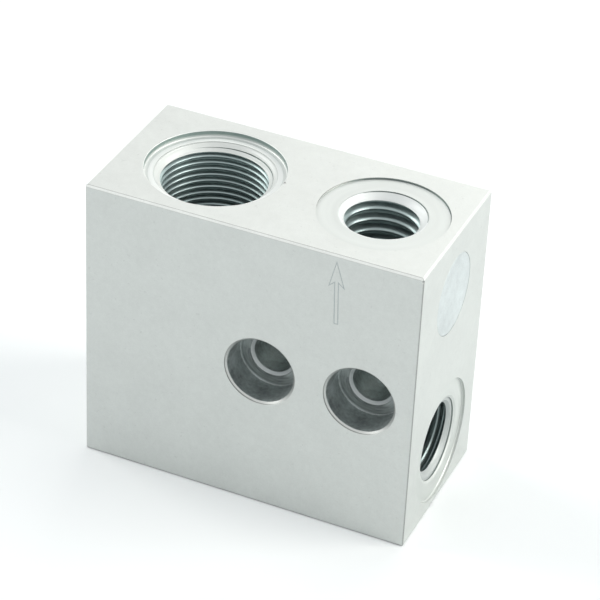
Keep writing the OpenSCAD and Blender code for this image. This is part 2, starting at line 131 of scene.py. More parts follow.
# How far inside the crests its core and the cavity's bore below it lie, and how far the thread's
# cutter reaches into the core
THREAD_CORE_STEP = 0.15
THREAD_STEP = 0.46
THREAD_CORE_OVERLAP = 0.05

# Counterbored screw holes
HEAD_RADIUS = 5.05
HEAD_DEPTH = 4.6
HEAD_MOUTH_CHAMFER = 0.36
HEAD_CORNER_CHAMFER = 0.14
HEAD_ROUNDING = 0.04
SHANK_CHAMFER = 0.4
SHANK_ROUNDING = 0.06
SHANK_BACK_CHAMFER = 0.15

# Grooves on one side of a mouth, where a tool ran slightly out of true. Angles are in degrees
# and in the mouth's own place, whose X runs to the left in a top port and to the right in front.
ToolMark = namedtuple("ToolMark", "inner outer floor deepest tilt")
CONE_MARK = ToolMark(inner=7.85, outer=8.05, floor=-1.52, deepest=242, tilt=1.1)
RIM_MARK = ToolMark(
    inner=SPOT_RADIUS - 0.1, outer=SPOT_RADIUS, floor=0.01 - OUTLET_SPOT_DEPTH, deepest=232, tilt=0.3
)
PORT_MARK = ToolMark(inner=6.0, outer=6.16, floor=0.04 - OUTLET_SPOT_DEPTH, deepest=255, tilt=2.0)
HOLE_MARK = ToolMark(inner=5.2, outer=5.36, floor=-0.06, deepest=220, tilt=0.9)

# Dents: offset from a corner of the front, or place round an axis with its angle in degrees
Nick = namedtuple("Nick", "offset radius")
CORNER_NICK = Nick(offset=Vector((0.12, -0.12, -0.45)), radius=0.4)
FRONT_NICK = Nick(offset=Vector((-5.4, -0.1, 0.1)), radius=0.37)
FOOT_NICK = Nick(offset=Vector((0.12, 10.5, -0.12)), radius=0.5)
RoundNick = namedtuple("RoundNick", "angle outwards height radius")
RIM_NICK = RoundNick(angle=184, outwards=0.0, height=0.12, radius=0.4)
BURR = RoundNick(angle=261, outwards=0.1, height=0.05 - HEAD_DEPTH, radius=0.2)

# Inside of the block, with the shoulder's height from the sleeve's foot
SHOULDER_RISE = 9.0
CHAMBER_RADIUS = 5.5
CAVITY_FLOOR_T = 3.5
DRILL_ROUNDING = 0.3
RING_SIDE_GAP = 0.1
SLIDE_GAP = 0.02
INLET_DRILLING_RADIUS = 4.0
# The inlet's drilling ends inside the chamber
INLET_DRILLING_DEPTH = 34.0
CROSS_DRILLING_RADIUS = 2.5
PLUG_FACE_ROUNDING = 0.12
PLUG_BACK_ROUNDING = 0.2

# Cartridge
EDGE_ROUNDING = 0.08
NOSE_RADIUS = 4.0
INLET_BORE_RADIUS = 2.6
COLLAR_LENGTH = 5.6
NECK_RADIUS = 5.2
TOP_COLLAR_LENGTH = 4.0
SLOT_COUNT = 6
SLOT_WIDTH = 2.4
SLOT_FLOOR_RADIUS = 4.9
HOLE_COUNT = 4
OUTLET_HOLE_RADIUS = 1.2
OUTLET_HOLE_DROP = 1.9
WINDOW_RADIUS = 1.3
WINDOW_RISE = 3.55
PULL_THREAD_CREST = 1.25
PULL_THREAD_DEPTH = 1.5
PULL_THREAD = ThreadShape(pitch=0.5, top=0.1, fade=0.0, turn=0.0, rows=8)
CAP_SEAL_GAP = 0.15
SNAP_RING_WIDTH = 0.98
SNAP_RING_OPENING = 0.8
RING_WIDTH = 1.8
RING_LUG_RADIUS = 1.1
RING_LUG_HOLE = 0.5
RING_LUG_ANGLE = math.radians(18)
# Springs, with their wires given by radius
COMPENSATOR_WIRE = 0.25
COMPENSATOR_TURNS = 7
CHECK_WIRE = 0.15
CHECK_TURNS = 3
SPRING_STEPS = 24
WIRE_SIDES = 10

# Flow arrow on the front, under the outlet
ARROW_LENGTH = 9.8
ARROW_HEAD_LENGTH = 3.9
ARROW_HEAD_HALF_WIDTH = 1.1
ARROW_NOTCH = 0.7
ARROW_SHAFT_HALF_WIDTH = 0.27
ARROW_LINE = 0.14
ARROW_DEPTH = 0.03
ARROW_TOP_GAP = 1.08
ARROW_OFFSET = -1.04
ARROW_TILT = math.radians(-2.1)

# Camera, from the middle of the block
CAMERA_AZIMUTH = math.radians(22.58)
CAMERA_ELEVATION = math.radians(34.13)
CAMERA_ROLL = math.radians(2.9)
CAMERA_DISTANCE = 381.05
CAMERA_AIM_RIGHT = 2.356
CAMERA_AIM_UP = 3.185
CAMERA_LENS = 161.15
CAMERA_SENSOR = 36.0
# In metres
CAMERA_NEAR = 0.01
CAMERA_FAR = 20.0

# Studio: the lamps' distance from the block and size, and half of the floor's width, in metres
LAMP_DISTANCE = 1.6
LAMP_SIZE = 1.0
FLOOR_HALF_WIDTH = 4.0
# How far the floor lies below the block
FLOOR_GAP = 0.02
WHITE = (1.0, 1.0, 1.0, 1.0)


# ---- places

Port = namedtuple("Port", "place thread_end crest_radius")


def place_at(point, axis):
    """Matrix from millimetres to the frame, with its origin at the point and its Z along the axis."""
    turn = Vector(axis).to_track_quat("Z", "Y").to_matrix().to_4x4()
    return Matrix.Translation(point) @ turn @ Matrix.Scale(MM, 4)


def on_block_face(point, axis):
    """The point moved along the axis to the block's face that the axis leaves by."""
    low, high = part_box("valve_body")
    moved = Vector(point)
    for k in range(3):
        if round(axis[k]):
            moved[k] = high[k] if axis[k] > 0 else low[k]
    return moved


def port(name):
    """A threaded mouth: heights in its place are measured from the block's face, outwards."""
    mount = mounts[name]
    axis = Vector(mount["axis"])
    middle = Vector(mount["pos_m"])
    face = on_block_face(middle, axis)
    middle_height = (middle - face).dot(axis) / MM
    thread_end = middle_height - mount["dims"]["length_mm"] / 2
    return Port(place_at(face, axis), thread_end, mount["dims"]["r_mm"])


def radius_of(node, k=0):
    """Half of a node's extent along one of its cross axes, in millimetres."""
    low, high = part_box(node)
    return (high[k] - low[k]) / 2 / MM


def span_of(node):
    """Height of a node's foot and of its top, in millimetres."""
    low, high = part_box(node)
    return low.z / MM, high.z / MM


def round_axis(place, radius, angle, height):
    """Point of the frame at a radius, an angle and a height of a place."""
    return place @ Vector((radius * math.cos(angle), radius * math.sin(angle), height))


mounts = {mount["name"]: mount for mount in frame["record"]["mounts"]}
cavity = port("cavity_port")
outlet = port("outlet_port")
inlet = port("inlet_port")
mouths = {"cavity": cavity, "outlet": outlet, "inlet": inlet}
hole_pattern = mounts["mounting_holes"]
hole_axis = Vector(hole_pattern["axis"])
hole_face = on_block_face(hole_pattern["pos_m"], hole_axis)
half_spacing = Vector((hole_pattern["dims"]["spacing_x_mm"] * MM / 2, 0, 0))
left_hole = place_at(hole_face - half_spacing, hole_axis)
right_hole = place_at(hole_face + half_spacing, hole_axis)
shank_radius = hole_pattern["dims"]["hole_r_mm"]
block_low, block_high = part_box("valve_body")
block_middle = (block_low + block_high) / 2
plug_low, plug_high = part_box("closing_plug")
plug_middle = (plug_low + plug_high) / 2
plug_place = place_at(on_block_face(plug_middle, (1, 0, 0)), (1, 0, 0))
# Heights along the cartridge are counted from the block's foot
cartridge = place_at((cavity.place.translation.x, 0, 0), (0, 0, 1))


# ---- node materials


class Nodes:
    """A node tree that is put together step by step."""

    def __init__(self, owner):
        owner.use_nodes = True
        self.tree = owner.node_tree

    def feed(self, socket, value):
        """Gives an input a constant value, or a link from another socket."""
        if isinstance(value, bpy.types.NodeSocket):
            self.tree.links.new(value, socket)
        else:
            socket.default_value = value

    def add(self, kind, settings=None, **inputs):
        """A new node with its settings and inputs."""
        node = self.tree.nodes.new("ShaderNode" + kind)
        for key, value in (settings or {}).items():
            setattr(node, key, value)
        for key, value in inputs.items():
            self.feed(node.inputs[key.replace("_", " ")], value)
        return node

    def compute(self, operation, first, second=0.0):
        """Result of one operation on sockets or numbers."""
        node = self.add("Math", {"operation": operation})
        for socket, value in zip(node.inputs, (first, second)):
            self.feed(socket, value)
        return node.outputs["Value"]


class Finish(Nodes):
    """Nodes of a material."""

    def __init__(self, name, metallic):
        self.material = bpy.data.materials.new(name)
        super().__init__(self.material)
        self.shader = self.tree.nodes["Principled BSDF"]
        self.shade(Metallic=metallic)
        coordinates = self.add("TexCoord")
        self.metres = coordinates.outputs["Object"]
        self.millimetres = self.mapped(Matrix.Scale(MM, 4))

    def shade(self, **inputs):
        """Sets inputs of the shader."""
        for key, value in inputs.items():
            self.feed(self.shader.inputs[key.replace("_", " ")], value)

    def mapped(self, place):
        """Coordinates in a place's own millimetres."""
        turn = place.to_3x3().normalized().to_euler()
        node = self.add(
            "Mapping", {"vector_type": "TEXTURE"}, Vector=self.metres, Location=place.translation,
            Rotation=turn, Scale=(MM, MM, MM),
        )
        return node.outputs["Vector"]

    def blend(self, *layers):
        """Weighted sum of (socket, weight) layers."""
        total = 0.0
        for value, weight in layers:
            total = self.compute("ADD", total, self.compute("MULTIPLY", value, weight))
        return total

    def noise(self, scale, detail, vector=None):
        """Noise over the given coordinates, or over the object's millimetres."""
        where = self.millimetres if vector is None else vector
        node = self.add("TexNoise", Vector=where, Scale=scale, Detail=detail)
        return node.outputs["Fac"]

    def around(self, place, lines, streaks):
        """Coordinates that follow a tool round an axis: fast across its path and slow along it."""
        x, y, height = self.add("SeparateXYZ", Vector=self.mapped(place)).outputs
        squares = [self.compute("MULTIPLY", part, part) for part in (x, y)]
        radius = self.compute("SQRT", self.compute("ADD", *squares))
        angle = self.compute("ARCTAN2", y, x)
        joined = self.add(
            "CombineXYZ",
            X=self.compute("MULTIPLY", radius, lines),
            Y=self.compute("MULTIPLY", angle, streaks),
            Z=self.compute("MULTIPLY", height, lines),
        )
        return joined.outputs["Vector"]

    def ramp(self, value, low_colour, high_colour, low=0.35, high=0.65):
        """Colour that goes from one to the other as the value goes from low to high."""
        node = self.add("ValToRGB", Fac=value)
        for element, position, colour in zip(
            node.color_ramp.elements, (low, high), (low_colour, high_colour)
        ):
            element.position = position
            element.color = (*colour, 1.0)
        return node.outputs["Color"]

    def spread(self, value, new_low, new_high, low=0.3, high=0.7):
        """The value's range from low to high, where most noise lies, stretched over a new range."""
        node = self.add(
            "MapRange", Value=value, From_Min=low, From_Max=high, To_Min=new_low, To_Max=new_high
        )
        return node.outputs["Result"]

    def bumps(self, *layers):
        """Relief from (height socket, depth in millimetres) layers."""
        normal = None
        for height, depth in layers:
            node = self.add("Bump", Height=height, Strength=1.0, Distance=depth * MM)
            if normal is not None:
                self.feed(node.inputs["Normal"], normal)
            normal = node.outputs["Normal"]
        self.shade(Normal=normal)


def scaled(colour, factor):
    """The colour, darker or lighter by a factor."""
    return tuple(channel * factor for channel in colour)


def blasted(name, colour, roughness=0.5, grain_depth=0.004, metallic=0.9, contrast=0.05):
    """Surface with a fine blasted grain, faint clouds and a few darker specks."""
    finish = Finish(name, metallic)
    clouds = finish.noise(scale=0.16, detail=3.0)
    mottle = finish.noise(scale=1.1, detail=3.0)
    grain = finish.noise(scale=5.0, detail=4.0)
    specks = finish.noise(scale=1.7, detail=6.0)
    blend = finish.blend((clouds, 0.3), (mottle, 0.3), (grain, 0.4))
    body = finish.ramp(blend, scaled(colour, 1 - contrast), scaled(colour, 1 + contrast))
    speck_mask = finish.spread(specks, new_low=0.0, new_high=0.35, low=0.66, high=0.74)
    speck_colour = (*scaled(colour, 0.72), 1.0)
    speckled = finish.add("MixRGB", Fac=speck_mask, Color1=body, Color2=speck_colour)
    finish.shade(
        Base_Color=speckled.outputs["Color"],
        Roughness=finish.spread(blend, roughness - 0.05, roughness + 0.05),
    )
    finish.bumps((grain, grain_depth), (clouds, 0.02))
    return finish.material


def machined(
    name, place, colour, roughness, lines=6.0, streaks=1.5, depth=0.004, contrast=0.12, metallic=1.0
):
    """Metal with the fine rings that a tool leaves round an axis."""
    finish = Finish(name, metallic)
    path = finish.around(place, lines, streaks)
    rings = finish.noise(scale=1.0, detail=3.0, vector=path)
    broad = finish.noise(scale=0.22, detail=1.0, vector=path)
    blend = finish.blend((rings, 0.5), (broad, 0.5))
    finish.shade(
        Base_Color=finish.ramp(blend, scaled(colour, 1 - contrast), scaled(colour, 1 + contrast / 3)),
        Roughness=finish.spread(rings, roughness * 0.8, roughness * 1.25),
    )
    finish.bumps((rings, depth))
    return finish.material


def shaded_wall(name, place, top, foot, top_colour, foot_colour):
    """Turned wall with painted shade: its colour goes from one at its top to another at its foot."""
    finish = Finish(name, metallic=0.6)
    path = finish.around(place, lines=5.0, streaks=2.0)
    rings = finish.noise(scale=1.0, detail=3.0, vector=path)
    height = finish.add("SeparateXYZ", Vector=finish.mapped(place)).outputs["Z"]
    share = finish.spread(height, new_low=0.0, new_high=1.0, low=top, high=foot)
    uneven = finish.blend((share, 1.0), (rings, 0.24))
    finish.shade(
        Base_Color=finish.ramp(uneven, top_colour, foot_colour, low=0.6, high=1.0),
        Roughness=finish.spread(rings, new_low=0.45, new_high=0.6),
    )
    finish.bumps((rings, 0.004))
    return finish.material


# ---- solids


def rounded(corners, closed):
    """Points (x, y, tag) of (x, y, rounding, tag) corners, where the last two may be left out."""
    points = []
    for i, corner in enumerate(corners):
        x, y, rounding, tag = (*corner, 0, 0)[:4]
        at_end = not closed and i in (0, len(corners) - 1)
        if rounding == 0 or at_end:
            points.append((x, y, tag))
            continue
        here = Vector((x, y))
        back = Vector(corners[i - 1][:2]) - here
        ahead = Vector(corners[(i + 1) % len(corners)][:2]) - here
        reach = rounding / math.tan(back.angle(ahead) / 2)
        reach = min(reach, ROUNDING_REACH * back.length, ROUNDING_REACH * ahead.length)
        start = here + back.normalized() * reach
        end = here + ahead.normalized() * reach
        for step in range(ROUNDING_STEPS + 1):
            t = step / ROUNDING_STEPS
            point = (1 - t) ** 2 * start + 2 * t * (1 - t) * here + t**2 * end
            points.append((point.x, point.y, tag))
    return points


def placed(name, data):
    """New object of the data, in the scene."""
    made = bpy.data.objects.new(name, data)
    bpy.context.scene.collection.objects.link(made)
    return made


def solid(name, bm, materials):
    """Object of a closed bmesh, with its faces turned outwards."""
    bmesh.ops.recalc_face_normals(bm, faces=bm.faces)
    mesh = bpy.data.meshes.new(name)
    bm.to_mesh(mesh)
    bm.free()
    for material in materials:
        mesh.materials.append(material)
    return placed(name, mesh)


def join_rings(bm, rings, tags, closed):
    """Faces between neighbouring rings of vertices, each with the tag of the ring before it."""
    pairs = zip(rings, rings[1:] + rings[:1] if closed else rings[1:], tags)
    for lower, upper, tag in pairs:
        for i in range(len(lower)):
            j = (i + 1) % len(lower)
            corners = list(dict.fromkeys((lower[i], lower[j], upper[j], upper[i])))
            if len(corners) > 2:
                bm.faces.new(corners).material_index = tag


def rectangle(near, far, low, high, *details):
    """Corners of a rectangle, each with the same rounding and tag where these are given."""
    return [(x, y, *details) for x, y in ((near, low), (far, low), (far, high), (near, high))]


def lathe(name, corners, place, materials, closed=False, segments=SEGMENTS):
    """Solid turned from an outline of (radius, height, rounding, finish) corners."""
    points = rounded(corners, closed)
    bm = bmesh.new()
    rings = []
    for radius, height, _ in points:
        if radius == 0:
            rings.append([bm.verts.new(place @ Vector((0, 0, height)))] * segments)
            continue
        rings.append([
            bm.verts.new(round_axis(place, radius, math.tau * i / segments, height))
            for i in range(segments)
        ])
    join_rings(bm, rings, [tag for _, _, tag in points], closed)
    return solid(name, bm, materials)


def bar(name, place, radius, low, high, materials, finish=0, rounding=0.0, segments=PIN_SEGMENTS):
    """Plain round cutter between two heights, or a disc with rounded edges."""
    corners = rectangle(0, radius, low, high, rounding, finish)
    return lathe(name, corners, place, materials, segments=segments)


def thread_form(turn):
    """Share of the full thread depth at a share of one pitch: flat crest, sloping flanks, flat root."""
    from_crest = abs(turn - round(turn))
    slope = min(max((from_crest - THREAD_HALF_CREST) / THREAD_FLANK, 0.0), 1.0)
    eased = slope * slope * (3 - 2 * slope)
    return (1 - FLANK_ROUNDNESS) * slope + FLANK_ROUNDNESS * eased


def thread_cutter(name, threaded, shape, materials, finish=0, faded_finish=0):
    """Cutter of an internal thread, which fades over a height below its top.

    Its grid is sheared, so that its edges follow the helix.
    """
    pitch = shape.pitch
    rows = shape.rows
    length = shape.top - threaded.thread_end
    inner = threaded.crest_radius - THREAD_CORE_STEP - THREAD_CORE_OVERLAP
    count = math.ceil(length / pitch) * rows
    bm = bmesh.new()

    def vertex(i, j):
        rise = pitch * (i / SEGMENTS + j / rows)
        outer = threaded.crest_radius + THREAD_DEPTH * pitch * thread_form(j / rows)
        fading = (length - rise) / shape.fade if shape.fade else 1.0
        share = min(rise / (RUN_IN_TURNS * pitch), fading, 1.0)
        radius = inner + (outer - inner) * max(share, 0.0)
        angle = shape.turn + math.tau * i / SEGMENTS
        return bm.verts.new(round_axis(threaded.place, radius, angle, threaded.thread_end + rise))

    # Once round, the grid meets its first column again, one pitch higher
    columns = [[vertex(0, j) for j in range(count + rows + 1)]]
    columns += [[vertex(i, j) for j in range(count + 1)] for i in range(1, SEGMENTS)]
    columns.append(columns[0][rows:])
    for here, beyond in zip(columns, columns[1:]):
        for j in range(count):
            bm.faces.new((here[j], beyond[j], beyond[j + 1], here[j + 1]))
    for row in (0, count):
        seam = columns[0][row : row + rows + 1]
        rim = [column[row] for column in columns[:SEGMENTS]] + seam[:0:-1]
        height = threaded.thread_end + pitch * (row / rows + 0.5)
        middle = bm.verts.new(threaded.place @ Vector((0, 0, height)))
        for k, corner in enumerate(rim):
            bm.faces.new((middle, corner, rim[(k + 1) % len(rim)]))
    to_heights = threaded.place.inverted()
    for face in bm.faces:
        below_top = shape.top - (to_heights @ face.calc_center_median()).z
        face.material_index = faded_finish if below_top < FADED_SHARE * shape.fade else finish
    return solid(name, bm, materials)


def prism(name, loop, low, high, place, finish, materials, inner_loop=None):
    """Straight solid over a closed loop of (x, y) points, or over the band between two loops."""
    bm = bmesh.new()
    walls = [
        [[bm.verts.new(place @ Vector((x, y, height))) for x, y in points] for height in (low, high)]
        for points in ([loop] if inner_loop is None else [loop, inner_loop])
    ]
    for wall in walls:
        join_rings(bm, wall, [finish], closed=False)
    if inner_loop is None:
        for cap in walls[0]:
            bm.faces.new(cap).material_index = finish
    else:
        for rims in zip(*walls):
            join_rings(bm, rims, [finish], closed=False)
    return solid(name, bm, materials)


def carve(piece, operations):
    """Does (operation, tool) booleans on the piece, in order. The tools are used up."""
    for operation, tool in operations:
        modifier = piece.modifiers.new(tool.name, "BOOLEAN")
        modifier.operation = operation
        modifier.solver = "MANIFOLD"
        modifier.material_mode = "INDEX"
        modifier.object = tool
    graph = bpy.context.evaluated_depsgraph_get()
    result = bpy.data.meshes.new_from_object(piece.evaluated_get(graph))
    piece.modifiers.clear()
    rough = piece.data
    piece.data = result
    bpy.data.meshes.remove(rough)
    result.name = piece.name
    for _, tool in operations:
        mesh = tool.data
        bpy.data.objects.remove(tool)
        bpy.data.meshes.remove(mesh)


def smooth_over(piece):
    """Smooth shading, with sharp edges kept and flat faces kept flat."""
    bm = bmesh.new()
    bm.from_mesh(piece.data)
    bmesh.ops.dissolve_degenerate(bm, edges=bm.edges, dist=SHORTEST_EDGE)
    for face in bm.faces:
        face.smooth = True
    for edge in bm.edges:
        edge.smooth = edge.is_manifold and edge.calc_face_angle() < SHARP_ANGLE
    bm.to_mesh(piece.data)
    bm.free()
    modifier = piece.modifiers.new("flat_faces_flat", "WEIGHTED_NORMAL")
    modifier.keep_sharp = True


def hand_over(piece, body, node):
    """Smooths the piece's shading, hangs it on the body that it rides on and hides the CAD node that it
    stands for.
    """
    smooth_over(piece)
    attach(piece, body)
    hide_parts(node)


# ---- block


BLOCK_COLOUR = (0.635, 0.66, 0.642)
# Colours of each mouth's parts, with painted shade in them: the threads darker than the other metal, the
# inlet's thread and cone darker still, and the steps dark lines, fainter in the cavity
MouthLook = namedtuple("MouthLook", "thread ring ring_shine cone step")
MOUTH_LOOKS = {
    "cavity": MouthLook(
        thread=(0.34, 0.42, 0.42), ring=(0.84, 0.86, 0.84), ring_shine=0.2,
        cone=(0.69, 0.715, 0.70), step=(0.60, 0.63, 0.61),
    ),
    "outlet": MouthLook(
        thread=(0.35, 0.425, 0.425), ring=(0.63, 0.66, 0.642), ring_shine=0.8,
        cone=(0.71, 0.735, 0.73), step=(0.30, 0.34, 0.33),
    ),
    "inlet": MouthLook(
        thread=(0.24, 0.29, 0.29), ring=(0.62, 0.65, 0.63), ring_shine=0.8,
        cone=(0.46, 0.49, 0.485), step=(0.30, 0.34, 0.33),
    ),
}
# The cavity's lip wall is painted shade: dark at its top and lighter at its foot
LIP_TOP_PAINTED_SHADE_COLOUR = (0.27, 0.34, 0.32)
LIP_FOOT_COLOUR = (0.66, 0.685, 0.67)
# Inside the screw holes and drillings the wall and floor are darker than the block as painted shade, and
# the chamfer into the shank lighter as a painted highlight
HEAD_WALL_COLOUR = (0.42, 0.465, 0.46)
HEAD_FLOOR_COLOUR = (0.40, 0.44, 0.435)
HEAD_EDGE_COLOUR = (0.70, 0.73, 0.73)
SHANK_COLOUR = (0.55, 0.61, 0.60)
MARK_COLOUR = (0.50, 0.54, 0.54)
PLUG_COLOUR = (0.608, 0.652, 0.655)


def block_finishes():
    """The block's materials by name, in the order of its slots."""
    made = {
        "blasted": blasted("block_blasted", BLOCK_COLOUR),
        # Painted light on the block: a lighter copy of its colour as a painted highlight on edges, a
        # slightly darker one as soft painted shade, and a dark one as painted shade lines, dents and
        # grooves
        "bright_edge": blasted("block_bright_edge", scaled(BLOCK_COLOUR, 1.16), roughness=0.35),
        "plain_edge": blasted("block_plain_edge", scaled(BLOCK_COLOUR, 0.86), roughness=0.45),
        "dull_edge": blasted("block_dull_edge", scaled(BLOCK_COLOUR, 0.55)),
        "mark": blasted("block_mark", MARK_COLOUR, roughness=0.6),
        "drilling": machined("block_drilling", inlet.place, HEAD_WALL_COLOUR, roughness=0.4),
        "lip": shaded_wall("cavity_lip", cavity.place, 0.0, -LIP_DEPTH, LIP_TOP_PAINTED_SHADE_COLOUR, LIP_FOOT_COLOUR),
    }

    def turned(name, *look, **details):
        made[name] = machined(name, *look, **details)

    for name, threaded in mouths.items():
        place = threaded.place
        look = MOUTH_LOOKS[name]
        turned(
            name + "_ring", place, look.ring, roughness=0.5, lines=3.0, depth=0.003, contrast=0.08,
            metallic=look.ring_shine,
        )
        turned(
            name + "_cone", place, look.cone, roughness=0.66, lines=4.0, depth=0.002, contrast=0.1,
            metallic=0.6,
        )
        turned(name + "_step", place, look.step, roughness=0.4)
        turned(name + "_thread", place, look.thread, roughness=0.38, lines=9.0, metallic=0.96)
    for name, place in (("left", left_hole), ("right", right_hole)):
        turned(
            name + "_head_wall", place, HEAD_WALL_COLOUR, roughness=0.55, lines=2.2, streaks=9.0,
            contrast=0.45, metallic=0.6,
        )
        turned(
            name + "_head_floor", place, HEAD_FLOOR_COLOUR, roughness=0.42, lines=4.5, streaks=2.5,
            contrast=0.5,
        )
        turned(name + "_head_edge", place, HEAD_EDGE_COLOUR, roughness=0.6, metallic=0.6)
        turned(
            name + "_shank", place, SHANK_COLOUR, roughness=0.5, lines=2.2, streaks=6.0,
            contrast=0.4, metallic=0.9,
        )
    return made


def slots_of(name, *parts):
    """Slots of the finishes that one mouth or screw hole has for its parts."""
    return [slot_of[name + "_" + part] for part in parts]


def blank():
    """The block before it is machined: chamfered edges, with the chamfers' own edges rounded."""
    bm = bmesh.new()
    bmesh.ops.create_cube(bm, size=1.0)
    size = block_high - block_low
    to_size = Matrix.Translation(block_middle) @ Matrix.Diagonal((*size, 1))
    bmesh.ops.transform(bm, verts=bm.verts, matrix=to_size)
    top_front = (0, -1, 1)
    top_right = (1, 0, 1)
    sides = [side for side in product((-1, 0, 1), repeat=3) if side.count(0) == 1]
    for side in sides:
        outwards = Vector(side)
        corner = block_middle + Vector([size[k] / 2 * side[k] for k in range(3)])
        chamfer = WIDE_CHAMFER if side in (top_front, top_right) else CHAMFER
        everything = [*bm.verts, *bm.edges, *bm.faces]
        plane = corner - outwards * chamfer * MM / 2
        cut = bmesh.ops.bisect_plane(
            bm, geom=everything, dist=ON_PLANE, plane_co=plane, plane_no=outwards, clear_outer=True
        )
        rim = [part for part in cut["geom_cut"] if isinstance(part, bmesh.types.BMEdge)]
        bmesh.ops.holes_fill(bm, edges=rim, sides=len(rim))
    bmesh.ops.bevel(
        bm, geom=bm.edges[:], offset=CHAMFER_ROUNDING * MM, segments=2, profile=0.5, affect="EDGES"
    )
    for face in bm.faces:
        face.material_index = slot_of[edge_finish(face.normal)]
    return solid("block", bm, finishes)


def edge_finish(normal):
    """Finish of a face of the blank: the upper chamfers lighter as a painted highlight, dark painted
    shade lines at the front and the right, and the other chamfers slightly darker as soft painted shade.
    """
    if max(abs(part) for part in normal) > SQUARE_ON:
        return "blasted"
    over_front = normal.z > STEEP and normal.y < -SLIGHT
    under_front = normal.z < -SLIGHT and normal.y < -SLIGHT
    up_the_right = abs(normal.z) < SLIGHT and normal.x > LEANING
    if over_front or under_front or up_the_right:
        return "dull_edge"
    return "bright_edge" if normal.z > LEANING else "plain_edge"


def cavity_cutter():
    """Recess, cone, core under the thread, ring groove, bore and chamber of the valve cavity."""
    ring, cone, step = slots_of("cavity", "ring", "cone", "step")
    lip = slot_of["lip"]
    bore = slot_of["drilling"]
    core = cavity.crest_radius - THREAD_CORE_STEP
    bore_radius = cavity.crest_radius - THREAD_STEP
    top = block_high.z / MM
    ring_bottom, ring_top = span_of("retaining_ring")
    groove_radius = radius_of("retaining_ring", 1) + SLIDE_GAP
    shoulder = span_of("cartridge_sleeve")[0] + SHOULDER_RISE
    step_floor = -LIP_DEPTH - CAVITY_CONE_STEP
    corners = [
        (0, CUT, 0, cone),
        (LIP_RADIUS + LIP_EDGE_BREAK + CUT, CUT, 0, ring),
        (LIP_RADIUS, -LIP_EDGE_BREAK, LIP_EDGE_ROUNDING, lip),
        (LIP_RADIUS, -LIP_DEPTH, LIP_FILLET, lip),
        (LIP_RADIUS - LIP_FILLET, -LIP_DEPTH, 0, ring),
        (CAVITY_CONE_RADIUS + CONE_STEP_GAP, -LIP_DEPTH, 0, step),
        (CAVITY_CONE_RADIUS + CONE_STEP_GAP, step_floor, 0, cone),
        (CAVITY_CONE_RADIUS - CAVITY_CONE_STEP, step_floor, CONE_ROUNDING, cone),
        (core, -LIP_DEPTH - (CAVITY_CONE_RADIUS - core), 0, bore),
        (core, cavity.thread_end - THREAD_CORE_STEP, 0, bore),
        (bore_radius, cavity.thread_end - THREAD_STEP, 0, bore),
        (bore_radius, ring_top + RING_SIDE_GAP - top, 0, bore),
        (groove_radius, ring_top + RING_SIDE_GAP - top, 0, bore),
        (groove_radius, ring_bottom - top, 0, bore),
        (bore_radius, ring_bottom - top, 0, bore),
        (bore_radius, shoulder - top, 0, bore),
        (CHAMBER_RADIUS, shoulder - top, 0, bore),
        (CHAMBER_RADIUS, CAVITY_FLOOR_T - top, DRILL_ROUNDING, bore),
        (0, CAVITY_FLOOR_T - top, 0, bore),
    ]
    return lathe("cavity", corners, cavity.place, finishes)


def port_cutter(name):
    """Spot face, stepped cone and core under the thread of a port."""
    threaded = mouths[name]
    shape = PORT_SHAPES[name]
    ring, cone, step = slots_of(name, "ring", "cone", "step")
    bore = slot_of["drilling"]
    core = threaded.crest_radius - THREAD_CORE_STEP
    step_radius = PORT_CONE_RADIUS + CONE_STEP_GAP
    step_top = -shape.spot_depth - shape.bevel / 2
    step_floor = step_top - shape.cone_step
    corners = [
        (0, CUT, 0, cone),
        (SPOT_RADIUS + CUT, CUT, 0, ring),
        (SPOT_RADIUS, 0, 0, slot_of[shape.wall]),
        (SPOT_RADIUS, -shape.spot_depth, shape.spot_fillet, ring),
        (step_radius + shape.bevel, -shape.spot_depth, shape.bevel / 4, ring),
        (step_radius, step_top, 0, step),
        (step_radius, step_floor, 0, cone),
        (PORT_CONE_RADIUS - shape.cone_step - shape.bevel / 2, step_floor, CONE_ROUNDING, cone),
        (core, -shape.spot_depth - (PORT_CONE_RADIUS - core), 0, bore),
        (core, -shape.depth, DRILL_ROUNDING, bore),
        (0, -shape.depth, 0, bore),
    ]
    return lathe(name, corners, threaded.place, finishes)


def mouth_thread(name):
    """Thread of one of the block's mouths, which fades into its cone."""
    thread, cone = slots_of(name, "thread", "cone")
    return thread_cutter(name + "_thread", mouths[name], THREADS[name], finishes, thread, cone)


def tilted_groove(name, place, mark, finish):
    """Ring cutter that sinks below its floor height towards one angle, and rises out opposite."""
    corners = rectangle(mark.inner, mark.outer, CUT, 0, 0, finish)
    turn = math.radians(mark.deepest + 90)
    axis = Vector((math.cos(turn), math.sin(turn), 0))
    tilt = Matrix.Rotation(math.radians(mark.tilt), 4, axis)
    tilted = Matrix.Translation((0, 0, mark.floor)) @ tilt
    return lathe(name, corners, place @ tilted, finishes, closed=True)


def tool_marks():
    """The grooves in the top ports and round the screw holes, in dark finishes that paint shade lines
    into them.
    """
    dark = slot_of["outlet_step"]
    painted_shade_slot = slot_of["dull_edge"]
    return [
        tilted_groove("cone_mark", cavity.place, CONE_MARK, dark),
        tilted_groove("rim_mark", outlet.place, RIM_MARK, dark),
        tilted_groove("port_mark", outlet.place, PORT_MARK, dark),
        tilted_groove("left_mark", left_hole, HOLE_MARK, painted_shade_slot),
        tilted_groove("right_mark", right_hole, HOLE_MARK, painted_shade_slot),
    ]


def nick(name, spot, radius):
    """Cutter of a small dent round a point of the frame, whose faces take the dark painted shade finish.
    """
    bm = bmesh.new()
    bmesh.ops.create_icosphere(bm, subdivisions=2, radius=radius * MM, matrix=Matrix.Translation(spot))
    for face in bm.faces:
        face.material_index = slot_of["dull_edge"]
    return solid(name, bm, finishes)


